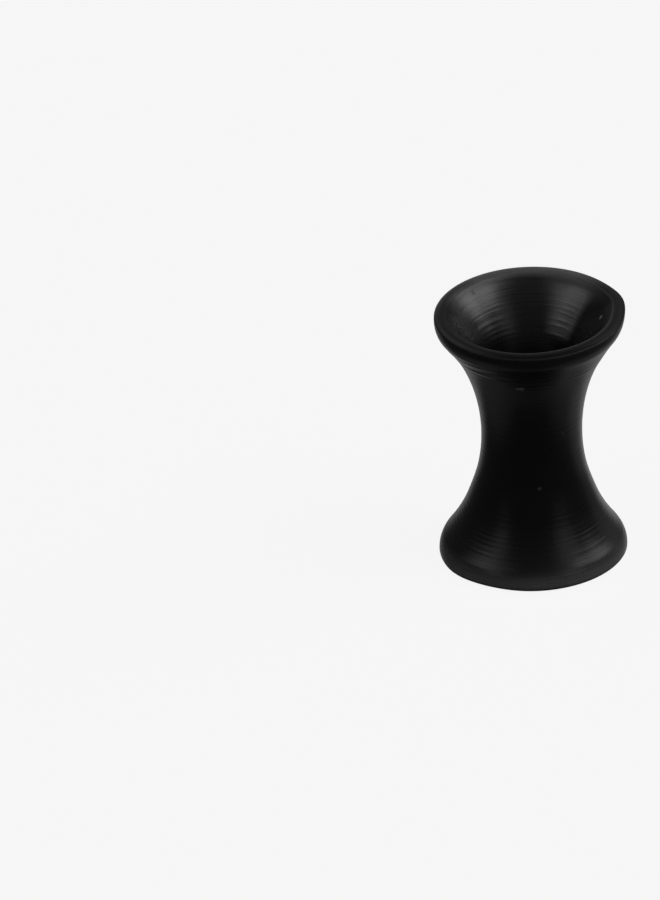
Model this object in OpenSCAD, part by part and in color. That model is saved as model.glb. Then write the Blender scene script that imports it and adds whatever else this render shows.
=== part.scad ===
// Silicone flesh tunnel: a double-flared hollow plug for a stretched ear lobe.
// One moulded piece, standing on its lower rim. Millimetres, +Z up along the axis,
// origin on the axis in the plane of the lower rim.

/* [Body] */
// Gauge: outer diameter at the waist, where the lobe sits
gauge_d = 4; // [3:0.1:6]
// Outer diameter of each flare at its widest
flare_d = 7.55; // [7.2:0.05:9]
// Overall length from rim to rim
length = 10.7; // [9:0.1:14]
// Radius of the rounded shoulder between the saddle and the rim
shoulder_r = 1.1; // [0.7:0.05:1.4]

/* [Rim] */
// How far inside the flare's widest circle the rim's crest begins
crest_inset = 0.375; // [0.35:0.005:0.45]
// Width of the flat band, on which the tunnel stands
crest_w = 0.06; // [0.04:0.01:0.1]
// Radius of the crown that rounds from the crest towards the rim's outer edge
crown_r = 0.6; // [0.5:0.05:1]
// Radius of the small outer edge of the rim
rim_edge_r = 0.08; // [0.05:0.01:0.12]
// Radius of the rounded edge that leads from the crest into the funnel
mouth_edge_r = 0.25; // [0.2:0.05:0.4]

/* [Hole] */
// Diameter of the straight throat of the hole
throat_d = 2.5; // [1.6:0.1:2.6]
// Length of the straight throat
throat_len = 1.4; // [1:0.1:3]

/* [Hidden] */
$fn = 180;
waist_r = gauge_d / 2;
flare_r = flare_d / 2;
crest_r = flare_r - crest_inset;
throat_r = throat_d / 2;
half_len = length / 2;
half_throat = throat_len / 2;
// Overshoot of a cut past the face that it opens
over = 0.1;
// Overlap of two arcs that touch, so that they meet in one clean edge
seam = 0.0001;

// The profile is laid out from mid-length as places [r, z], r out from the axis.
// These are the centres of its round stretches at the upper end, and what follows from them.
crown_at = [crest_r + crest_w, half_len - crown_r];
mouth_edge_at = [crest_r, half_len - mouth_edge_r];
// The rim's outer edge touches the crown from inside and the flare's widest circle
rim_edge_run = flare_r - rim_edge_r - crown_at[0];
rim_edge_rise = sqrt(pow(crown_r - rim_edge_r + seam, 2) - pow(rim_edge_run, 2));
rim_edge_at = crown_at + [rim_edge_run, rim_edge_rise];
// The shoulder starts at the widest point, level with the centre of the rim's outer edge
shoulder_at = [flare_r - shoulder_r, rim_edge_at[1]];
// The saddle is one arc centred at mid-length that meets both shoulders tangentially
saddle_gap = waist_r - shoulder_at[0];
saddle_r = (pow(shoulder_at[1], 2) + pow(saddle_gap, 2) - pow(shoulder_r - seam, 2))
    / (2 * (shoulder_r - seam - saddle_gap));
saddle_at = [waist_r + saddle_r, 0];
saddle_end = point_between(saddle_at, shoulder_at, saddle_r);
// The funnel is one arc that leaves the throat straight and touches the mouth's edge from outside
funnel_run = mouth_edge_at[1] - half_throat;
funnel_rise = mouth_edge_at[0] - throat_r;
funnel_r = (pow(funnel_run, 2) + pow(funnel_rise, 2) - pow(mouth_edge_r - seam, 2))
    / (2 * (funnel_rise - mouth_edge_r + seam));
funnel_at = [throat_r + funnel_r, half_throat];

// The point at a distance from one place towards another
function point_between(from, to, distance) = from + (to - from) * distance / norm(to - from);
// The same place at the upper end (side 1) or the lower end (side -1)
function at_end(place, side) = [place[0], side * place[1]];
// A list of places at one end
function all_at_end(places, side) = [for (place = places) at_end(place, side)];

// The rim at one end: its crown, its small outer edge and the shoulder behind it
module rim_outline(side) {
    intersection() {
        translate(at_end(crown_at, side)) circle(r = crown_r);
        polygon(all_at_end([
            [crown_at[0], rim_edge_at[1]],
            rim_edge_at,
            point_between(crown_at, rim_edge_at, crown_r + over),
            [flare_r, half_len + over],
            [crown_at[0], half_len + over]
        ], side));
    }
    translate(at_end(rim_edge_at, side)) circle(r = rim_edge_r);
    intersection() {
        translate(at_end(shoulder_at, side)) circle(r = shoulder_r);
        translate([shoulder_at[0], -shoulder_at[1]]) square([shoulder_r + over, 2 * shoulder_at[1]]);
    }
}

// Everything within the outer surface, from the axis out to the saddle, shoulders and rims
module outer_outline() {
    upper_end = [saddle_end, rim_edge_at, [crown_at[0], half_len], [0, half_len]];
    difference() {
        polygon(concat(
            upper_end,
            [for (i = [len(upper_end) - 1 : -1 : 0]) at_end(upper_end[i], -1)]
        ));
        translate(saddle_at) circle(r = saddle_r);
    }
    for (side = [-1, 1]) rim_outline(side);
}

// The wall that rounds into the hole at one end, from the throat to the crest of the rim
module funnel_wall(side) {
    intersection() {
        translate(at_end(funnel_at, side)) circle(r = funnel_r);
        polygon(all_at_end([
            funnel_at,
            [0, half_throat],
            [0, half_len],
            point_between(funnel_at, mouth_edge_at, funnel_r + over)
        ], side));
    }
    translate(at_end(mouth_edge_at, side)) circle(r = mouth_edge_r);
}

// The hole's profile: the straight throat and a funnel that opens at each end
module hole_outline() {
    translate([-over, -half_len]) square([throat_r + over, length]);
    for (side = [-1, 1])
        difference() {
            polygon(all_at_end([
                [-over, half_throat],
                [crest_r, half_throat],
                [crest_r, half_len + over],
                [-over, half_len + over]
            ], side));
            funnel_wall(side);
        }
}

// The whole moulded piece
module tunnel() {
    color([0.07, 0.07, 0.075])
        translate([0, 0, half_len])
            rotate_extrude()
                difference() {
                    outer_outline();
                    hole_outline();
                }
}

tunnel();
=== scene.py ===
"""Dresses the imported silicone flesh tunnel: a lathed skin with its mould rings, and the studio round it."""

import logging
import math
from dataclasses import dataclass
from enum import Enum
from typing import Optional, Union

import bpy
import numpy as np
from mathutils import Matrix, Vector


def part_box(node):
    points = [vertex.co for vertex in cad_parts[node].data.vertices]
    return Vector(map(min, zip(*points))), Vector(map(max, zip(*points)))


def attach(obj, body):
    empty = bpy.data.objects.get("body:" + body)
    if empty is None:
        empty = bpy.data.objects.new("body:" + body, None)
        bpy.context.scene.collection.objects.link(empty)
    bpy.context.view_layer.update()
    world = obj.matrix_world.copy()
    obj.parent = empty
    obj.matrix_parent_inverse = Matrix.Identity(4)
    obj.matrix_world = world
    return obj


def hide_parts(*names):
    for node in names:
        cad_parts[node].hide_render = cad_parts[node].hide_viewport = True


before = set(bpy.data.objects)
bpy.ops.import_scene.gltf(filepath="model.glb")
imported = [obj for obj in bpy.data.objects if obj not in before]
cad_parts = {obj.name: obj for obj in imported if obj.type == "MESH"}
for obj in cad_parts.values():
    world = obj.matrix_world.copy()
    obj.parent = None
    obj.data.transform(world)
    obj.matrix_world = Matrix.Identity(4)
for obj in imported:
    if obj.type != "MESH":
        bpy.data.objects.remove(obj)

log = logging.getLogger("flesh_tunnel")

MM = 0.001
# A reach in degrees so wide that a ridge or a bump runs evenly all round
ALL_ROUND = 1000.0
# The skin's meridians are counted from +X, and its azimuths from the front, so they differ by this turn
FRONT_TURN_DEG = 90.0
# The middle of what a noise node gives, from 0 to 1
NOISE_MIDDLE = 0.5


def ease(value: np.ndarray, low: float, high: float) -> np.ndarray:
    """Eases a value from 0 at low to 1 at high."""
    t = np.clip((value - low) / (high - low), 0.0, 1.0)
    return t * t * (3 - 2 * t)


def window(value: np.ndarray, ends: tuple[float, float], soft: tuple[float, float]) -> np.ndarray:
    """Eases from 0 up to 1 and back to 0 between two ends.

    Args:
        value: The values.
        ends: Where the window begins and where it ends.
        soft: How long it takes to open and to close.

    Returns:
        Shares from 0 to 1.
    """
    return ease(value - ends[0], 0.0, soft[0]) * ease(ends[1] - value, 0.0, soft[1])


def degrees_from(azimuth: np.ndarray, middle: float) -> np.ndarray:
    """Turns azimuths into degrees away from a middle, from -180 to 180."""
    return (azimuth - middle + 180.0) % 360.0 - 180.0


class Zone(Enum):
    """The named stretches of the tunnel's profile, from the middle of the hole to the middle of the waist."""

    THROAT = "throat"
    FUNNEL = "funnel"
    MOUTH_EDGE = "mouth edge"
    CREST = "crest"
    CROWN = "crown"
    RIM_EDGE = "rim edge"
    SHOULDER = "shoulder"
    SADDLE = "saddle"


@dataclass(frozen=True)
class ZoneCut:
    """How finely a zone is meshed, and how much of the mould rings' relief it carries."""

    step_mm: float
    relief: float


ZONE_CUTS: dict[Zone, ZoneCut] = {
    Zone.THROAT: ZoneCut(step_mm=0.070, relief=0.5),
    Zone.FUNNEL: ZoneCut(step_mm=0.030, relief=1.0),
    Zone.MOUTH_EDGE: ZoneCut(step_mm=0.020, relief=0.5),
    Zone.CREST: ZoneCut(step_mm=0.025, relief=0.3),
    Zone.CROWN: ZoneCut(step_mm=0.025, relief=0.4),
    Zone.RIM_EDGE: ZoneCut(step_mm=0.014, relief=0.2),
    Zone.SHOULDER: ZoneCut(step_mm=0.028, relief=0.8),
    Zone.SADDLE: ZoneCut(step_mm=0.030, relief=1.0),
}


@dataclass(frozen=True)
class Stretch:
    """A straight or round stretch of the profile: places and outward directions in the plane of r and z."""

    zone: Zone
    place: np.ndarray
    outward: np.ndarray

    @classmethod
    def line(cls, zone: Zone, start: tuple[float, float], end: tuple[float, float],
             outward: tuple[float, float]) -> "Stretch":
        """Samples a straight stretch.

        Args:
            zone: The zone that it belongs to.
            start: Its first place, r and z in mm.
            end: Its last place, which the next stretch gives.
            outward: The direction out of the material.

        Returns:
            The sampled stretch, without its last place.
        """
        a, b = np.array(start), np.array(end)
        count = max(2, round(float(np.linalg.norm(b - a)) / ZONE_CUTS[zone].step_mm))
        share = np.arange(count)[:, None] / count
        return cls(zone, a + (b - a) * share, np.tile(np.array(outward, float), (count, 1)))

    @classmethod
    def arc(cls, zone: Zone, centre: tuple[float, float], radius: float, start: float, end: float,
            hollow: bool = False) -> "Stretch":
        """Samples a round stretch.

        Args:
            zone: The zone that it belongs to.
            centre: The centre of the circle, r and z in mm.
            radius: The radius in mm.
            start: The angle of its first place, in radians from the direction of r.
            end: The angle of its last place, which the next stretch gives.
            hollow: True where the material lies outside the circle.

        Returns:
            The sampled stretch, without its last place.
        """
        count = max(2, round(radius * abs(end - start) / ZONE_CUTS[zone].step_mm))
        angle = start + (end - start) * np.arange(count) / count
        spoke = np.stack([np.cos(angle), np.sin(angle)], axis=1)
        return cls(zone, np.array(centre) + radius * spoke, -spoke if hollow else spoke)

    def mirrored(self, last: np.ndarray, last_outward: np.ndarray) -> "Stretch":
        """The same stretch at the lower end, run through backwards.

        Args:
            last: The place where the stretch ends, which becomes the first one.
            last_outward: The direction out of the material at that place.

        Returns:
            The mirrored stretch, without the place where it ends.
        """
        flip = np.array([1.0, -1.0])
        place = np.vstack([self.place[1:], last])[::-1] * flip
        outward = np.vstack([self.outward[1:], last_outward])[::-1] * flip
        return Stretch(self.zone, place, outward)


@dataclass(frozen=True)
class Outline:
    """The whole closed profile, sampled: places, outward directions, length along it and relief share."""

    r: np.ndarray
    z: np.ndarray
    out_r: np.ndarray
    out_z: np.ndarray
    along: np.ndarray
    relief: np.ndarray


@dataclass(frozen=True)
class TunnelProfile:
    """The tunnel's profile, built from the same driving sizes as the solid, in mm."""

    length: float
    flare_d: float
    gauge_d: float = 4.0
    shoulder_r: float = 1.1
    crest_inset: float = 0.375
    crest_w: float = 0.06
    crown_r: float = 0.6
    rim_edge_r: float = 0.08
    mouth_edge_r: float = 0.25
    throat_d: float = 2.5
    throat_len: float = 1.4

    def upper_stretches(self) -> list[Stretch]:
        """Lays out the upper half of the profile, z from mid-length.

        Returns:
            The stretches in order, from the middle of the throat to the middle of the waist.
        """
        half, half_throat = self.length / 2, self.throat_len / 2
        flare, waist, throat = self.flare_d / 2, self.gauge_d / 2, self.throat_d / 2
        crest = flare - self.crest_inset
        # Centres of the round stretches, each tangent to its neighbours
        crown = (crest + self.crest_w, half - self.crown_r)
        edge_run = flare - self.rim_edge_r - crown[0]
        edge = (crown[0] + edge_run,
                crown[1] + math.sqrt((self.crown_r - self.rim_edge_r) ** 2 - edge_run ** 2))
        shoulder = (flare - self.shoulder_r, edge[1])
        gap = waist - shoulder[0]
        saddle_r = (shoulder[1] ** 2 + gap ** 2 - self.shoulder_r ** 2) / (2 * (flare - waist))
        saddle = (waist + saddle_r, 0.0)
        mouth = (crest, half - self.mouth_edge_r)
        run, rise = mouth[1] - half_throat, mouth[0] - throat
        funnel_r = (run ** 2 + rise ** 2 - self.mouth_edge_r ** 2) / (2 * (rise - self.mouth_edge_r))
        funnel = (throat + funnel_r, half_throat)
        # Angles at which one stretch hands over to the next
        mouth_turn = math.atan2(mouth[1] - funnel[1], mouth[0] - funnel[0])
        edge_turn = math.atan2(edge[1] - crown[1], edge[0] - crown[0])
        saddle_turn = math.atan2(shoulder[1], shoulder[0] - saddle[0])
        shoulder_turn = saddle_turn - math.pi
        upright = math.pi / 2
        return [
            Stretch.line(Zone.THROAT, (throat, 0.0), (throat, half_throat), (-1.0, 0.0)),
            Stretch.arc(Zone.FUNNEL, funnel, funnel_r, math.pi, mouth_turn),
            Stretch.arc(Zone.MOUTH_EDGE, mouth, self.mouth_edge_r, mouth_turn, upright),
            Stretch.line(Zone.CREST, (crest, half), (crown[0], half), (0.0, 1.0)),
            Stretch.arc(Zone.CROWN, crown, self.crown_r, upright, edge_turn),
            Stretch.arc(Zone.RIM_EDGE, edge, self.rim_edge_r, edge_turn, 0.0),
            Stretch.arc(Zone.SHOULDER, shoulder, self.shoulder_r, 0.0, shoulder_turn),
            Stretch.arc(Zone.SADDLE, saddle, saddle_r, saddle_turn, math.pi, hollow=True),
        ]

    def outline(self) -> Outline:
        """Joins the upper half and its mirror image into one closed profile.

        Returns:
            The sampled outline, z from the lower rim. It starts and ends in the middle of the throat.
        """
        upper = self.upper_stretches()
        waist_end = (np.array([self.gauge_d / 2, 0.0]), np.array([1.0, 0.0]))
        ends = [(s.place[0], s.outward[0]) for s in upper[1:]] + [waist_end]
        lower = [s.mirrored(*end) for s, end in zip(reversed(upper), reversed(ends))]
        whole = upper + lower
        place = np.vstack([s.place for s in whole])
        outward = np.vstack([s.outward for s in whole])
        relief = np.concatenate([np.full(len(s.place), ZONE_CUTS[s.zone].relief) for s in whole])
        steps = np.linalg.norm(np.diff(place, axis=0), axis=1)
        along = np.concatenate([[0.0], np.cumsum(steps)])
        return Outline(place[:, 0], place[:, 1] + self.length / 2,
                       outward[:, 0], outward[:, 1], along, relief)


@dataclass(frozen=True)
class SurfaceNoise:
    """Smooth seeded noise over the lathed surface, periodic round the axis.

    A cell is cell_mm long along the profile, and there are lobes cells round the axis.
    """

    cell_mm: float
    lobes: int
    seed: int

    def field(self, along: np.ndarray, turn: np.ndarray) -> np.ndarray:
        """Samples the noise.

        Args:
            along: Length along the profile in mm, one value per ring, or a grid.
            turn: Turn round the axis, 0 to 1, one value per meridian.

        Returns:
            A grid of values from -1 to 1, rings by meridians.
        """
        rows, cols = np.broadcast_arrays(along[:, None] if along.ndim == 1 else along, turn[None, :])
        u, v = rows / self.cell_mm, cols * self.lobes
        values = np.random.default_rng(self.seed).uniform(-1.0, 1.0, (int(u.max()) + 3, self.lobes))
        u0, v0 = np.floor(u).astype(int), np.floor(v).astype(int)
        a, b = ease(u - u0, 0.0, 1.0), ease(v - v0, 0.0, 1.0)
        v0, v1 = v0 % self.lobes, (v0 + 1) % self.lobes
        near = values[u0, v0] * (1 - b) + values[u0, v1] * b
        far = values[u0 + 1, v0] * (1 - b) + values[u0 + 1, v1] * b
        return near * (1 - a) + far * a


@dataclass(frozen=True)
class MouldRings:
    """The fine concentric rings that the turned mould leaves on the silicone, as real relief."""

    depth_mm: float = 0.0026
    wander_mm: float = 0.03
    fine_share: float = 0.35
    patch_change: float = 0.38
    wander: SurfaceNoise = SurfaceNoise(cell_mm=3.0, lobes=5, seed=11)
    coarse: SurfaceNoise = SurfaceNoise(cell_mm=0.0625, lobes=1, seed=12)
    fine: SurfaceNoise = SurfaceNoise(cell_mm=0.0375, lobes=2, seed=13)
    patches: SurfaceNoise = SurfaceNoise(cell_mm=0.9, lobes=6, seed=14)

    def relief(self, along: np.ndarray, turn: np.ndarray) -> np.ndarray:
        """Works out how far the surface stands proud at each place.

        Args:
            along: Length along the profile in mm, one value per ring.
            turn: Turn round the axis, 0 to 1, one value per meridian.

        Returns:
            Heights in mm, rings by meridians.
        """
        spot = np.clip(along[:, None] + self.wander.field(along, turn) * self.wander_mm, 0.0, None)
        rings = self.coarse.field(spot, turn) + self.fine_share * self.fine.field(spot, turn)
        strength = 1.0 - self.patch_change + self.patch_change * self.patches.field(along, turn)
        return self.depth_mm * strength * rings


@dataclass(frozen=True)
class RingLine:
    """One low ring ridge, or a few side by side, over part of the way round. Azimuth 0 faces the front."""

    along_mm: float
    rise_mm: float
    width_mm: float
    azimuth_deg: float = 0.0
    reach_deg: float = ALL_ROUND
    pitch_mm: float = 0.21
    count: int = 1

    def relief(self, along: np.ndarray, turn: np.ndarray) -> np.ndarray:
        """Works out how far the surface stands proud at each place.

        Args:
            along: Length along the profile in mm, one value per ring.
            turn: Turn round the axis from +X, 0 to 1, one value per meridian.

        Returns:
            Heights in mm, rings by meridians.
        """
        ridge = sum(np.exp(-((along - self.along_mm - k * self.pitch_mm) / self.width_mm) ** 2)
                    for k in range(self.count))
        away = degrees_from(turn * 360.0 + FRONT_TURN_DEG, self.azimuth_deg)
        return self.rise_mm * ridge[:, None] * np.exp(-(away / self.reach_deg) ** 2)[None, :]


RING_LINES: tuple[RingLine, ...] = (
    # The bright arcs low on the funnel's right wall, and the weaker ones on its left wall
    RingLine(along_mm=3.50, rise_mm=0.014, width_mm=0.050, azimuth_deg=144.0, reach_deg=14.0),
    RingLine(along_mm=3.87, rise_mm=0.014, width_mm=0.050, azimuth_deg=144.0, reach_deg=15.0),
    RingLine(along_mm=4.11, rise_mm=0.014, width_mm=0.050, azimuth_deg=142.0, reach_deg=18.0),
    RingLine(along_mm=4.40, rise_mm=0.007, width_mm=0.050, azimuth_deg=142.0, reach_deg=22.0, count=3),
    RingLine(along_mm=3.55, rise_mm=0.004, width_mm=0.050, azimuth_deg=-146.0, reach_deg=22.0, count=4),
    # The streaks under the upper rim, to the left and to the right of the front
    RingLine(along_mm=7.36, rise_mm=0.024, width_mm=0.090, azimuth_deg=-42.0, reach_deg=20.0),
    RingLine(along_mm=7.90, rise_mm=0.024, width_mm=0.090, azimuth_deg=-40.0, reach_deg=22.0),
    RingLine(along_mm=8.30, rise_mm=0.008, width_mm=0.050, azimuth_deg=48.0, reach_deg=25.0),
    # The ripple all round the lower flare
    RingLine(along_mm=15.60, rise_mm=0.0035, width_mm=0.055, count=5),
)


@dataclass(frozen=True)
class PaintedSheenPatch:
    """A patch of painted sheen inside the hole, pale base colour that stands in for light. Azimuth 180 is the
    back, less is to the right.
    """

    along_mm: tuple[float, float]
    along_soft: tuple[float, float]
    azimuth_deg: tuple[float, float]
    azimuth_soft: tuple[float, float]
    share: float

    def cover(self, along: np.ndarray, azimuth: np.ndarray) -> np.ndarray:
        """Works out the patch's cover at each place.

        Args:
            along: Lengths along the profile in mm.
            azimuth: Azimuths in degrees, 0 to 360.

        Returns:
            Shares of the full painted sheen.
        """
        return (self.share * window(along, self.along_mm, self.along_soft)
                * window(azimuth, self.azimuth_deg, self.azimuth_soft))


# Painted sheen: pale base colour where the lips and the funnel's walls show a sheen
PAINTED_SHEEN_PATCHES: tuple[PaintedSheenPatch, ...] = (
    # Painted sheen on the back of the upper lip
    PaintedSheenPatch(along_mm=(5.55, 6.60), along_soft=(0.40, 0.40),
              azimuth_deg=(115.0, 245.0), azimuth_soft=(35.0, 35.0), share=1.0),
    # Painted sheen on the funnel's right wall
    PaintedSheenPatch(along_mm=(3.20, 5.75), along_soft=(0.80, 0.50),
              azimuth_deg=(119.0, 168.0), azimuth_soft=(14.0, 30.0), share=1.30),
    # Painted sheen on the upper part of the funnel's left wall
    PaintedSheenPatch(along_mm=(4.60, 6.25), along_soft=(0.50, 0.30),
              azimuth_deg=(195.0, 262.0), azimuth_soft=(28.0, 24.0), share=0.66),
    # A thin painted sheen over the funnel's back
    PaintedSheenPatch(along_mm=(2.40, 6.00), along_soft=(0.80, 0.50),
              azimuth_deg=(140.0, 225.0), azimuth_soft=(25.0, 25.0), share=0.10),
)


@dataclass(frozen=True)
class PaintedSheenFilm:
    """The pale base colour that stands in for light: a painted reflection of the floor on the foot's outside,
    thinner on the skirt above it, and painted sheen in patches inside the hole.
    """

    foot_mm: tuple[float, float] = (0.09, 0.95)
    foot_soft: tuple[float, float] = (0.11, 0.70)
    foot_share: float = 0.76
    skirt_top_mm: float = 2.8
    skirt_share: float = 0.07
    outside_from_mm: float = 6.6
    patches: tuple[PaintedSheenPatch, ...] = PAINTED_SHEEN_PATCHES

    def share(self, along: np.ndarray, height: np.ndarray, azimuth: np.ndarray) -> np.ndarray:
        """Works out how strong the painted reflection and sheen are at each place.

        Args:
            along: Lengths along the profile in mm.
            height: Heights in mm.
            azimuth: Azimuths in degrees, 0 at the front.

        Returns:
            Shares of the full painted sheen.
        """
        # The painted reflection of the floor on the foot's outside, and more thinly on the skirt
        foot = window(height, self.foot_mm, self.foot_soft) * self.foot_share
        skirt_mm = (self.foot_mm[0], self.skirt_top_mm)
        skirt = window(height, skirt_mm, (self.foot_soft[0], self.skirt_top_mm)) * self.skirt_share
        outside = np.maximum(foot, skirt) * (along > self.outside_from_mm)
        covers = [patch.cover(along, azimuth % 360.0) for patch in self.patches]
        return np.maximum.reduce(np.broadcast_arrays(outside, *covers))


@dataclass(frozen=True)
class LipWear:
    """How worn dull the lips are: their whole band at the sides and back, their outer edge at the front."""

    band_mm: tuple[float, float] = (5.45, 7.0)
    band_soft: tuple[float, float] = (0.30, 0.40)
    edge_mm: tuple[float, float] = (6.30, 6.75)
    edge_soft: tuple[float, float] = (0.15, 0.15)
    edge_share: float = 6.0
    front_deg: tuple[float, float] = (30.0, 75.0)

    def share(self, along: np.ndarray, azimuth: np.ndarray) -> np.ndarray:
        """Works out how worn the skin is at each place.

        Args:
            along: Lengths along the closed profile in mm, one value per ring.
            azimuth: Azimuths in degrees from -180 to 180, 0 at the front.

        Returns:
            Shares of the wear of the lips' sides, rings by meridians.
        """
        # The lower lip lies as far from the profile's end as the upper one from its start
        lip = np.minimum(along, along[-1] - along)[:, None]
        aside = ease(np.abs(azimuth), *self.front_deg)
        band = window(lip, self.band_mm, self.band_soft)
        edge = window(lip, self.edge_mm, self.edge_soft)
        return band * aside + edge * (1.0 - aside) * self.edge_share


@dataclass(frozen=True)
class SoftBump:
    """A low rise or dent in the soft wall, pushed out from the axis.

    Azimuth 0 faces the front, + is to the right.
    """

    height_mm: float
    reach_mm: float
    rise_mm: float
    azimuth_deg: float = 0.0
    reach_deg: float = ALL_ROUND

    def rise(self, height: np.ndarray, azimuth: np.ndarray) -> np.ndarray:
        """Works out the push at each place.

        Args:
            height: Heights in mm.
            azimuth: Azimuths in degrees.

        Returns:
            The push away from the axis in mm.
        """
        away = degrees_from(azimuth, self.azimuth_deg)
        return self.rise_mm * np.exp(-((height - self.height_mm) / self.reach_mm) ** 2
                                     - (away / self.reach_deg) ** 2)


BUMPS: tuple[SoftBump, ...] = (
    # The upper rim's fuller right side, and the shoulders under it, left and right
    SoftBump(height_mm=10.6, reach_mm=0.45, rise_mm=0.085, azimuth_deg=106.0, reach_deg=14.0),
    SoftBump(height_mm=9.85, reach_mm=0.60, rise_mm=0.070, azimuth_deg=-85.0, reach_deg=40.0),
    SoftBump(height_mm=9.2, reach_mm=0.60, rise_mm=0.040, azimuth_deg=85.0, reach_deg=35.0),
    # The waist's fuller right side, and the lower flare, a little fuller all round
    SoftBump(height_mm=5.6, reach_mm=2.60, rise_mm=0.035, azimuth_deg=90.0, reach_deg=55.0),
    SoftBump(height_mm=2.8, reach_mm=0.80, rise_mm=0.032),
    # The foot, a little out of round at the right and at the left of the front
    SoftBump(height_mm=0.6, reach_mm=0.50, rise_mm=0.035, azimuth_deg=78.0, reach_deg=20.0),
    SoftBump(height_mm=0.1, reach_mm=0.40, rise_mm=0.055, azimuth_deg=-58.0, reach_deg=16.0),
    SoftBump(height_mm=0.1, reach_mm=0.40, rise_mm=-0.045, azimuth_deg=-26.0, reach_deg=18.0),
)


@dataclass(frozen=True)
class SoftWarp:
    """How the soft tube departs from a true lathe: a little lean, an upper rim out of true, and low bumps."""

    lean: float = 0.014
    tip_back_deg: float = 2.04
    bumps: tuple[SoftBump, ...] = BUMPS

    def apply(self, place: np.ndarray, length: float) -> np.ndarray:
        """Bends places on the true tube.

        Args:
            place: Places in mm, z up from the lower rim, one per row.
            length: The tube's length in mm.

        Returns:
            The bent places. The lower rim stays in its plane.
        """
        x, y, z = place.T
        azimuth = np.degrees(np.arctan2(x, -y))
        spread = 1.0 + sum(bump.rise(z, azimuth) for bump in self.bumps) / np.hypot(x, y)
        upper = np.clip((z - length / 2) / (length / 2), 0.0, 1.0) ** 2
        raised = z + math.tan(math.radians(self.tip_back_deg)) * y * upper
        return np.stack([x * spread + self.lean * (z - length / 2), y * spread, raised], axis=1)


class Wire:
    """A shader value that Python expressions can work on. Each operation adds its Math node."""

    def __init__(self, graph: "Graph", socket: bpy.types.NodeSocket) -> None:
        """Keeps the socket and the graph that it is in."""
        self.graph = graph
        self.socket = socket

    def __add__(self, other: "Value") -> "Wire":
        """self + other."""
        return self.graph.math("ADD", self, other)

    def __radd__(self, other: "Value") -> "Wire":
        """other + self."""
        return self.graph.math("ADD", other, self)

    def __sub__(self, other: "Value") -> "Wire":
        """self - other."""
        return self.graph.math("SUBTRACT", self, other)

    def __rsub__(self, other: "Value") -> "Wire":
        """other - self."""
        return self.graph.math("SUBTRACT", other, self)

    def __mul__(self, other: "Value") -> "Wire":
        """self * other."""
        return self.graph.math("MULTIPLY", self, other)

    def __rmul__(self, other: "Value") -> "Wire":
        """other * self."""
        return self.graph.math("MULTIPLY", other, self)

    def __truediv__(self, other: "Value") -> "Wire":
        """self / other."""
        return self.graph.math("DIVIDE", self, other)

    def __rtruediv__(self, other: "Value") -> "Wire":
        """other / self."""
        return self.graph.math("DIVIDE", other, self)

    def __pow__(self, other: "Value") -> "Wire":
        """self ** other."""
        return self.graph.math("POWER", self, other)

    def __rpow__(self, other: "Value") -> "Wire":
        """other ** self."""
        return self.graph.math("POWER", other, self)


Value = Union[Wire, float]
Colour = tuple[float, float, float, float]
WHITE: Colour = (1.0, 1.0, 1.0, 1.0)


class Graph:
    """Adds nodes to one node tree."""

    def __init__(self, tree: bpy.types.NodeTree) -> None:
        """Starts with an empty tree."""
        self.tree = tree
        tree.nodes.clear()

    def node(self, kind: str, settings: Optional[dict] = None,
             inputs: Optional[dict] = None) -> bpy.types.Node:
        """Adds a node.

        Args:
            kind: The node's type.
            settings: Its settings, set first.
            inputs: Values or wires of its sockets, by name or number.

        Returns:
            The new node.
        """
        made = self.tree.nodes.new(kind)
        for name, setting in (settings or {}).items():
            setattr(made, name, setting)
        for name, value in (inputs or {}).items():
            if isinstance(value, Wire):
                self.tree.links.new(value.socket, made.inputs[name])
            else:
                made.inputs[name].default_value = value
        return made

    def wire(self, kind: str, settings: Optional[dict] = None, inputs: Optional[dict] = None,
             output: Union[int, str] = 0) -> Wire:
        """Adds a node and returns one of its outputs.

        Args:
            kind: The node's type.
            settings: Its settings, set first.
            inputs: Values or wires of its sockets.
            output: The output's name or number.

        Returns:
            The output as a wire.
        """
        return Wire(self, self.node(kind, settings, inputs).outputs[output])

    def math(self, operation: str, *values: Value) -> Wire:
        """Adds a Math node on values or wires."""
        return self.wire("ShaderNodeMath", {"operation": operation}, dict(enumerate(values)))

    def attribute(self, name: str) -> Wire:
        """Reads a number that the mesh stores at each vertex."""
        return self.wire("ShaderNodeAttribute", {"attribute_name": name}, output="Fac")

    def span(self, value: Value, low: float, high: float) -> Wire:
        """Eases a value from 0 at low to 1 at high."""
        return self.wire("ShaderNodeMapRange", {"interpolation_type": "SMOOTHSTEP"},
                         {"Value": value, "From Min": low, "From Max": high})

    def mix(self, share: Wire, first: Union[Wire, Colour], second: Union[Wire, Colour]) -> Wire:
        """Mixes two colours.

        Args:
            share: The second colour's share.
            first: The colour, or its wire, where the share is 0.
            second: The colour, or its wire, where the share is 1.

        Returns:
            The mixed colour.
        """
        # A Mix node has the sockets of every data type, so the colour ones go by number
        colour_a, colour_b, colour_result = 6, 7, 2
        return self.wire("ShaderNodeMix", {"data_type": "RGBA"},
                         {"Factor": share, colour_a: first, colour_b: second}, output=colour_result)


@dataclass(frozen=True)
class Mark:
    """A small mark on the surface: a pale speck, or a dent whose darkness is painted shade as well as relief.
    """

    height_mm: float
    radius_mm: float
    azimuth_deg: float
    size_mm: float
    pale: float = 0.0
    dent_and_shade: float = 0.0

    def place(self) -> tuple[float, float, float]:
        """The mark's place in metres. Azimuth 0 faces the front and grows towards +X."""
        turn = math.radians(self.azimuth_deg)
        return (self.radius_mm * math.sin(turn) * MM, -self.radius_mm * math.cos(turn) * MM,
                self.height_mm * MM)


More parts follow.
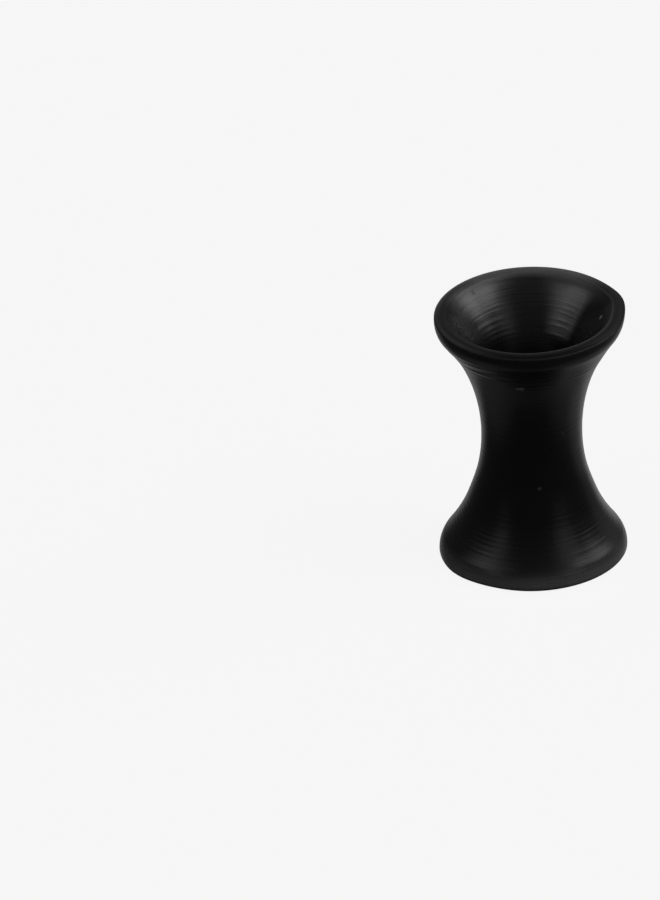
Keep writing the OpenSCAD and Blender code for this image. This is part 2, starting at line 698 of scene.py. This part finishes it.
MARKS: tuple[Mark, ...] = (
    # Pale specks: inside the funnel at the right, and two on the tube; the dash under the rim is a raised
    # bump whose paleness is partly a painted highlight
    Mark(height_mm=10.21, radius_mm=2.904, azimuth_deg=94.4, size_mm=0.15, pale=0.6),
    Mark(height_mm=8.69, radius_mm=2.800, azimuth_deg=-10.0, size_mm=0.14, pale=0.30),
    Mark(height_mm=8.69, radius_mm=2.806, azimuth_deg=-6.8, size_mm=0.16, pale=0.42),
    Mark(height_mm=3.84, radius_mm=2.150, azimuth_deg=6.7, size_mm=0.12, pale=0.13),
    Mark(height_mm=6.02, radius_mm=2.036, azimuth_deg=37.4, size_mm=0.10, pale=0.10),
    # Dents, their darkness partly painted shade: on the funnel's left wall and along its edge, then two on
    # the waist
    Mark(height_mm=10.54, radius_mm=3.023, azimuth_deg=-134.2, size_mm=0.15, dent_and_shade=0.8),
    Mark(height_mm=10.61, radius_mm=3.132, azimuth_deg=-99.0, size_mm=0.18, dent_and_shade=0.9),
    Mark(height_mm=10.39, radius_mm=2.930, azimuth_deg=-102.4, size_mm=0.18, dent_and_shade=0.9),
    Mark(height_mm=10.57, radius_mm=3.146, azimuth_deg=-71.7, size_mm=0.20, dent_and_shade=0.7),
    Mark(height_mm=9.56, radius_mm=2.266, azimuth_deg=-117.6, size_mm=0.26, dent_and_shade=0.5),
    Mark(height_mm=6.64, radius_mm=2.117, azimuth_deg=14.5, size_mm=0.13, dent_and_shade=0.9),
    Mark(height_mm=4.89, radius_mm=2.012, azimuth_deg=11.5, size_mm=0.13, dent_and_shade=0.6),
)


@dataclass(frozen=True)
class SatinSilicone:
    """Black silicone with a satin skin: fine rings, a faint mottle, a pale painted sheen and painted
    reflection, and a few small marks.
    """

    name: str = "satin_silicone"
    # Grey levels of the bare silicone, of the full painted sheen and of a speck or painted glint, and how
    # much bluer than grey they are
    black: float = 0.006
    painted_sheen_grey: float = 0.165
    speck_and_glint: float = 0.45
    cool: float = 1.02
    # How even the painted sheen is, and how much the cloud, the mottle and the rings thicken it
    painted_sheen_even: float = 0.15
    painted_sheen_cloud: float = 0.4
    painted_sheen_mottle: float = 0.4
    painted_sheen_rings: float = 0.9
    # The bump's depth, and the shares of the rings, the mottle, the specks and the dents in it
    bump_mm: float = 0.0022
    bump_rings: float = 0.6
    bump_mottle: float = 0.9
    bump_specks: float = 2.0
    bump_dents: float = 4.0
    # The roughness, and what the worn lips, the cloud, the rings and the specks add to it
    roughness: float = 0.27
    rough_worn: float = 0.09
    rough_cloud: float = 0.08
    rough_rings: float = 0.06
    rough_specks: float = 0.2
    specular: float = 0.5
    # The noises' scales per metre, the rings' pitch, and how much the rings change on the way round
    mottle_scale: float = 9000.0
    cloud_scale: float = 900.0
    ring_pitch_mm: float = 0.07
    ring_walk: float = 0.8
    marks: tuple[Mark, ...] = MARKS
    # The middle share of a mark's size that is marked in full
    mark_core: float = 0.2

    def material(self) -> bpy.types.Material:
        """Builds the material.

        Returns:
            The finished material.
        """
        made = bpy.data.materials.new(self.name)
        made.use_nodes = True
        g = Graph(made.node_tree)
        place = g.wire("ShaderNodeTexCoord", output="Object")
        rings = self._rings(g, place)
        mottle = g.wire("ShaderNodeTexNoise", inputs={
            "Vector": place, "Scale": self.mottle_scale, "Detail": 3.0})
        cloud = g.wire("ShaderNodeTexNoise", inputs={
            "Vector": place, "Scale": self.cloud_scale, "Detail": 2.0})
        pale_specks_and_glint, dents_and_shade = self._marks(g, place)
        patchy = (self.painted_sheen_even + cloud * self.painted_sheen_cloud
                  + mottle * self.painted_sheen_mottle + rings * self.painted_sheen_rings)
        # Painted sheen and painted reflection: the base colour is lifted towards pale grey by the stored
        # share
        colour = g.mix(g.attribute("painted_sheen") * patchy, self._grey(self.black), self._grey(self.painted_sheen_grey))
        # Pale specks, and a painted highlight on the raised dash under the rim
        colour = g.mix(pale_specks_and_glint, colour, self._grey(self.speck_and_glint))
        # Painted shade: the dents darken the colour to black
        colour = g.mix(dents_and_shade, colour, self._grey(0.0))
        height = (rings * self.bump_rings + mottle * self.bump_mottle
                  + pale_specks_and_glint * self.bump_specks - dents_and_shade * self.bump_dents)
        bump = g.wire("ShaderNodeBump", inputs={
            "Strength": 1.0, "Distance": self.bump_mm * MM, "Height": height})
        rough = (g.attribute("worn") * self.rough_worn + self.roughness
                 + (cloud - NOISE_MIDDLE) * self.rough_cloud
                 + (rings - NOISE_MIDDLE) * self.rough_rings + pale_specks_and_glint * self.rough_specks)
        surface = g.wire("ShaderNodeBsdfPrincipled", inputs={
            "Base Color": colour, "Roughness": rough, "Specular IOR Level": self.specular, "Normal": bump})
        g.node("ShaderNodeOutputMaterial", inputs={"Surface": surface})
        return made

    def _grey(self, level: float) -> Colour:
        """A grey with the silicone's faint cool tint."""
        return (level, level, level * self.cool, 1.0)

    def _rings(self, g: Graph, place: Wire) -> Wire:
        """Noise drawn out round the axis, so that it reads as fine rings along the profile.

        Args:
            g: The graph.
            place: The place on the object in metres.

        Returns:
            Grey from 0 to 1.
        """
        parts = g.node("ShaderNodeSeparateXYZ", inputs={0: place})
        x, y = Wire(g, parts.outputs[0]), Wire(g, parts.outputs[1])
        reach = (x * x + y * y) ** 0.5
        spot = g.wire("ShaderNodeCombineXYZ", inputs={
            0: x / reach * self.ring_walk, 1: y / reach * self.ring_walk,
            2: g.attribute("along") * (1.0 / self.ring_pitch_mm)})
        return g.wire("ShaderNodeTexNoise", inputs={"Vector": spot, "Scale": 1.0, "Detail": 2.0})

    def _marks(self, g: Graph, place: Wire) -> tuple[Wire, Wire]:
        """Masks the small marks.

        Args:
            g: The graph.
            place: The place on the object in metres.

        Returns:
            How pale the specks are, and how deep the dents and how dark their painted shade, both 0 on the
            plain skin.
        """
        pale_specks_and_glint: Value = 0.0
        dents_and_shade: Value = 0.0
        for mark in self.marks:
            away = g.wire("ShaderNodeVectorMath", {"operation": "DISTANCE"},
                          {0: place, 1: mark.place()}, output="Value")
            spot = 1.0 - g.span(away, self.mark_core * mark.size_mm * MM, mark.size_mm * MM)
            if mark.pale:
                pale_specks_and_glint = spot * mark.pale + pale_specks_and_glint
            if mark.dent_and_shade:
                dents_and_shade = spot * mark.dent_and_shade + dents_and_shade
        return pale_specks_and_glint, dents_and_shade


@dataclass(frozen=True)
class TunnelSkin:
    """The tunnel's visible body: one closed lathed mesh with ring relief, softly warped."""

    profile: TunnelProfile
    rings: MouldRings = MouldRings()
    lines: tuple[RingLine, ...] = RING_LINES
    warp: SoftWarp = SoftWarp()
    painted_sheen: PaintedSheenFilm = PaintedSheenFilm()
    wear: LipWear = LipWear()
    finish: SatinSilicone = SatinSilicone()
    meridians: int = 120
    name: str = "silicone_tunnel"

    def build(self) -> bpy.types.Object:
        """Builds and dresses the body, and ties it to the frame.

        Returns:
            The finished object.
        """
        mesh = self._mesh(self.profile.outline())
        body = bpy.data.objects.new(self.name, mesh)
        bpy.context.scene.collection.objects.link(body)
        mesh.materials.append(self.finish.material())
        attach(body, "root")
        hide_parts("tunnel")
        return body

    def _mesh(self, outline: Outline) -> bpy.types.Mesh:
        """Lathes the outline into a closed mesh of quads.

        Args:
            outline: The sampled profile.

        Returns:
            The smooth mesh, which stores what the finish reads at each vertex: the length along the
            profile, the painted sheen's share and the lips' wear.
        """
        turn = np.arange(self.meridians) / self.meridians
        angle = turn[None, :] * 2 * math.pi
        quads = self._quads(len(outline.r))
        mesh = bpy.data.meshes.new(self.name)
        mesh.from_pydata(self._places(outline, turn, angle).tolist(), [], quads.tolist())
        mesh.polygons.foreach_set("use_smooth", np.ones(len(quads), dtype=bool))
        azimuth = degrees_from(np.degrees(angle) + FRONT_TURN_DEG, 0.0)
        self._store(mesh, "along", np.repeat(outline.along, self.meridians))
        # Painted reflection and sheen: the share of pale base colour that stands in for light
        self._store(mesh, "painted_sheen", self.painted_sheen.share(outline.along[:, None], outline.z[:, None], azimuth))
        self._store(mesh, "worn", self.wear.share(outline.along, azimuth))
        mesh.update()
        return mesh

    def _places(self, outline: Outline, turn: np.ndarray, angle: np.ndarray) -> np.ndarray:
        """Turns the outline round the axis, with its relief, and warps it.

        Args:
            outline: The sampled profile.
            turn: Turn round the axis, 0 to 1, one value per meridian.
            angle: The same in radians, as one row.

        Returns:
            Places in metres, one per row, ring by ring.
        """
        proud = self.rings.relief(outline.along, turn) * outline.relief[:, None]
        proud = proud + sum(line.relief(outline.along, turn) for line in self.lines)
        r = outline.r[:, None] + outline.out_r[:, None] * proud
        z = outline.z[:, None] + outline.out_z[:, None] * proud
        place = np.stack([r * np.cos(angle), r * np.sin(angle), z], axis=2).reshape(-1, 3)
        return self.warp.apply(place, self.profile.length) * MM

    def _quads(self, ring_count: int) -> np.ndarray:
        """Joins each ring to the next one, wound so that the faces look out of the silicone.

        Args:
            ring_count: How many rings there are. The last one joins the first.

        Returns:
            Four vertex numbers per quad.
        """
        i, j = np.meshgrid(np.arange(ring_count), np.arange(self.meridians), indexing="ij")
        row, next_row = i * self.meridians, (i + 1) % ring_count * self.meridians
        next_j = (j + 1) % self.meridians
        return np.stack([row + j, next_row + j, next_row + next_j, row + next_j], axis=2).reshape(-1, 4)

    @staticmethod
    def _store(mesh: bpy.types.Mesh, name: str, values: np.ndarray) -> None:
        """Stores one number per vertex.

        Args:
            mesh: The mesh.
            name: The attribute's name.
            values: The numbers, ring by ring.
        """
        made = mesh.attributes.new(name, "FLOAT", "POINT")
        made.data.foreach_set("value", values.astype(np.float32).reshape(-1))


@dataclass(frozen=True)
class SoftSpot:
    """A soft patch of light in the surround. Azimuth 0 lies behind the tunnel, + to the camera's right."""

    azimuth_deg: float
    elevation_deg: float
    radiance: float
    reach_deg: float

    def toward(self) -> tuple[float, float, float]:
        """The direction of the patch's middle."""
        azimuth, elevation = math.radians(self.azimuth_deg), math.radians(self.elevation_deg)
        return (math.sin(azimuth) * math.cos(elevation), math.cos(azimuth) * math.cos(elevation),
                math.sin(elevation))


# The right lamp, a bent bank that climbs towards the front: the sheen on the funnel's left wall,
# and the one on the lower flare's right
RIGHT_LAMP: tuple[SoftSpot, ...] = (
    SoftSpot(azimuth_deg=72, elevation_deg=30, radiance=2.1, reach_deg=15),
    SoftSpot(azimuth_deg=88, elevation_deg=30, radiance=1.4, reach_deg=15),
    SoftSpot(azimuth_deg=104, elevation_deg=44, radiance=2.5, reach_deg=15),
    SoftSpot(azimuth_deg=120, elevation_deg=58, radiance=1.1, reach_deg=15),
)
# The left lamp, much weaker: the sheen on the funnel's right wall, and the one on the lower flare's left
LEFT_LAMP: tuple[SoftSpot, ...] = (
    SoftSpot(azimuth_deg=-80, elevation_deg=38, radiance=0.40, reach_deg=15),
    SoftSpot(azimuth_deg=-96, elevation_deg=38, radiance=0.66, reach_deg=15),
    SoftSpot(azimuth_deg=-112, elevation_deg=38, radiance=0.54, reach_deg=15),
    SoftSpot(azimuth_deg=-128, elevation_deg=52, radiance=0.62, reach_deg=15),
    SoftSpot(azimuth_deg=-128, elevation_deg=24, radiance=0.32, reach_deg=15),
)
# The fill in front, low at the right, and a trace of it high over the camera: the narrow sheen right of
# the lower flare's middle, and the one left of the middle of the funnel's back
FILL: tuple[SoftSpot, ...] = (
    SoftSpot(azimuth_deg=128, elevation_deg=26, radiance=0.34, reach_deg=22),
    SoftSpot(azimuth_deg=176, elevation_deg=62, radiance=0.05, reach_deg=22),
)
# The pale sheet's rise behind the tunnel: the lips' tops all round with the line along the mouth's edge,
# and the soft light on the lower flare's right edge
SHEET_BEHIND: tuple[SoftSpot, ...] = (
    SoftSpot(azimuth_deg=-40, elevation_deg=44, radiance=0.46, reach_deg=22),
    SoftSpot(azimuth_deg=-16, elevation_deg=8, radiance=0.32, reach_deg=22),
    SoftSpot(azimuth_deg=8, elevation_deg=26, radiance=0.12, reach_deg=22),
    SoftSpot(azimuth_deg=30, elevation_deg=42, radiance=0.45, reach_deg=16),
    SoftSpot(azimuth_deg=56, elevation_deg=8, radiance=0.16, reach_deg=22),
)
# The pale sheet where it lies: the light edges down both sides of the tube, and the skin under the upper rim
SHEET_BELOW: tuple[SoftSpot, ...] = (
    SoftSpot(azimuth_deg=20, elevation_deg=-12, radiance=0.19, reach_deg=26),
    SoftSpot(azimuth_deg=-20, elevation_deg=-32, radiance=0.32, reach_deg=26),
    SoftSpot(azimuth_deg=20, elevation_deg=-32, radiance=0.30, reach_deg=26),
    SoftSpot(azimuth_deg=60, elevation_deg=-32, radiance=0.15, reach_deg=26),
    SoftSpot(azimuth_deg=30, elevation_deg=-55, radiance=0.07, reach_deg=30),
    SoftSpot(azimuth_deg=90, elevation_deg=-55, radiance=0.085, reach_deg=30),
    SoftSpot(azimuth_deg=-90, elevation_deg=-55, radiance=0.075, reach_deg=30),
)


@dataclass(frozen=True)
class Surround:
    """The light round the tunnel: soft patches over an even weak haze."""

    spots: tuple[SoftSpot, ...] = RIGHT_LAMP + LEFT_LAMP + FILL + SHEET_BEHIND + SHEET_BELOW
    haze: float = 0.042

    def build(self) -> None:
        """Sets the world's light."""
        world = bpy.data.worlds.new("studio")
        bpy.context.scene.world = world
        world.use_nodes = True
        g = Graph(world.node_tree)
        direction = g.wire("ShaderNodeTexCoord", output="Generated")
        total: Value = self.haze
        for spot in self.spots:
            facing = g.wire("ShaderNodeVectorMath", {"operation": "DOT_PRODUCT"},
                            {0: direction, 1: spot.toward()}, output="Value")
            edge = math.cos(math.radians(spot.reach_deg))
            total = g.span(facing, edge, 1.0) * spot.radiance + total
        sky = g.wire("ShaderNodeBackground", inputs={"Color": WHITE, "Strength": total})
        g.node("ShaderNodeOutputWorld", inputs={"Surface": sky})


def add_stage(mesh: bpy.types.Mesh, material: bpy.types.Material) -> bpy.types.Object:
    """Adds a mesh that belongs to the stage, and not to the tunnel.

    Args:
        mesh: The mesh, which names the object.
        material: Its material.

    Returns:
        The stage object.
    """
    made = bpy.data.objects.new(mesh.name, mesh)
    mesh.materials.append(material)
    bpy.context.scene.collection.objects.link(made)
    return made


@dataclass(frozen=True)
class PaleFloor:
    """The plain pale floor. Only the camera sees it: it neither lights the tunnel nor shows in its gloss."""

    reach_m: float = 3.0
    # The grey and the strength of its own glow, and the grey of the part that the studio lights
    pale: float = 0.93
    glow: float = 0.96
    matt: float = 0.1

    def build(self) -> None:
        """Lays the floor."""
        reach = self.reach_m
        mesh = bpy.data.meshes.new("floor")
        mesh.from_pydata([(-reach, -reach, 0), (reach, -reach, 0), (reach, reach, 0), (-reach, reach, 0)],
                         [], [(0, 1, 2, 3)])
        sheet = add_stage(mesh, self._material())
        sheet.visible_glossy = False
        sheet.visible_diffuse = False
        sheet.visible_shadow = False

    def _material(self) -> bpy.types.Material:
        """A pale sheet that glows evenly, and is lit a little, so that the tunnel shades it faintly."""
        made = bpy.data.materials.new("pale_sheet")
        made.use_nodes = True
        g = Graph(made.node_tree)
        glow = g.wire("ShaderNodeEmission", inputs={
            "Color": (self.pale,) * 3 + (1.0,), "Strength": self.glow})
        matt = g.wire("ShaderNodeBsdfDiffuse", inputs={"Color": (self.matt,) * 3 + (1.0,)})
        both = g.wire("ShaderNodeAddShader", inputs={0: glow, 1: matt})
        g.node("ShaderNodeOutputMaterial", inputs={"Surface": both})
        return made


@dataclass(frozen=True)
class FrontGlow:
    """A sector of floor close in front of the foot, whose glow only the tunnel sees. Angles are from +X.

    It shows on the front of the skin under the upper rim, and along the foot's front edge.
    """

    inner_mm: float = 4.2
    outer_mm: float = 5.2
    start_deg: float = -135.0
    end_deg: float = -45.0
    steps: int = 18
    radiance: float = 0.12
    name: str = "front_glow"

    def build(self) -> None:
        """Lays the sector."""
        sweep = self.end_deg - self.start_deg
        turns = [math.radians(self.start_deg + sweep * i / self.steps) for i in range(self.steps + 1)]
        rings = [[(r * MM * math.cos(t), r * MM * math.sin(t), 0.0) for t in turns]
                 for r in (self.inner_mm, self.outer_mm)]
        faces = [(i, i + self.steps + 1, i + self.steps + 2, i + 1) for i in range(self.steps)]
        mesh = bpy.data.meshes.new(self.name)
        mesh.from_pydata(rings[0] + rings[1], [], faces)
        made = bpy.data.materials.new(self.name)
        made.use_nodes = True
        g = Graph(made.node_tree)
        glow = g.wire("ShaderNodeEmission", inputs={"Color": WHITE, "Strength": self.radiance})
        g.node("ShaderNodeOutputMaterial", inputs={"Surface": glow})
        sector = add_stage(mesh, made)
        sector.visible_camera = False
        sector.visible_shadow = False


@dataclass(frozen=True)
class PhotoCamera:
    """The camera of the photograph: a long lens, a little off level, with the tunnel right of the middle."""

    elevation_deg: float = 28.36
    roll_deg: float = 1.89
    distance_m: float = 0.3195
    lens_mm: float = 320.0
    sensor_mm: float = 36.0
    clip_m: tuple[float, float] = (0.01, 20.0)
    frame_px: tuple[int, int] = (660, 900)
    tunnel_px: tuple[float, float] = (531.3, 430.1)

    def build(self, target: Vector) -> None:
        """Places the camera so that the target falls on its pixel, with no shift.

        Args:
            target: The middle of the tunnel, in metres.
        """
        tilt, roll = math.radians(self.elevation_deg), math.radians(self.roll_deg)
        back = Vector((0.0, -math.cos(tilt), math.sin(tilt)))
        level_right, level_up = Vector((1.0, 0.0, 0.0)), Vector((0.0, math.sin(tilt), math.cos(tilt)))
        right = level_right * math.cos(roll) - level_up * math.sin(roll)
        up = level_right * math.sin(roll) + level_up * math.cos(roll)
        aimed = Matrix((right, up, back)).transposed()
        width, height = self.frame_px
        focal_px = self.lens_mm / self.sensor_mm * max(width, height)
        ray = Vector((self.tunnel_px[0] - width / 2, height / 2 - self.tunnel_px[1], -focal_px))
        swing = Vector((0.0, 0.0, -1.0)).rotation_difference(ray).to_matrix()
        data = bpy.data.cameras.new("photo_camera")
        data.sensor_width = self.sensor_mm
        data.lens = self.lens_mm
        data.clip_start, data.clip_end = self.clip_m
        camera = bpy.data.objects.new("photo_camera", data)
        turned = (aimed @ swing.inverted()).to_4x4()
        camera.matrix_world = Matrix.Translation(target + back * self.distance_m) @ turned
        bpy.context.scene.collection.objects.link(camera)
        bpy.context.scene.camera = camera


@dataclass(frozen=True)
class Studio:
    """Floor, glow, surround and camera together."""

    floor: PaleFloor = PaleFloor()
    glow: FrontGlow = FrontGlow()
    surround: Surround = Surround()
    camera: PhotoCamera = PhotoCamera()

    def build(self, middle: Vector) -> None:
        """Sets up everything round the tunnel.

        Args:
            middle: The middle of the tunnel, in metres.
        """
        self.floor.build()
        self.glow.build()
        self.surround.build()
        self.camera.build(middle)
        bpy.context.scene.view_settings.view_transform = "Standard"


def main() -> None:
    """Builds the tunnel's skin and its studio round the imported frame."""
    logging.basicConfig(level=logging.INFO, format="%(name)s: %(message)s")
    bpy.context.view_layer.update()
    low, high = (Vector(corner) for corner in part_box("tunnel"))
    profile = TunnelProfile(length=(high.z - low.z) / MM, flare_d=(high.x - low.x) / MM)
    skin = TunnelSkin(profile).build()
    log.info("piece %s: %d faces", skin.name, len(skin.data.polygons))
    Studio().build((low + high) / 2)


if __name__ == "__main__":
    main()
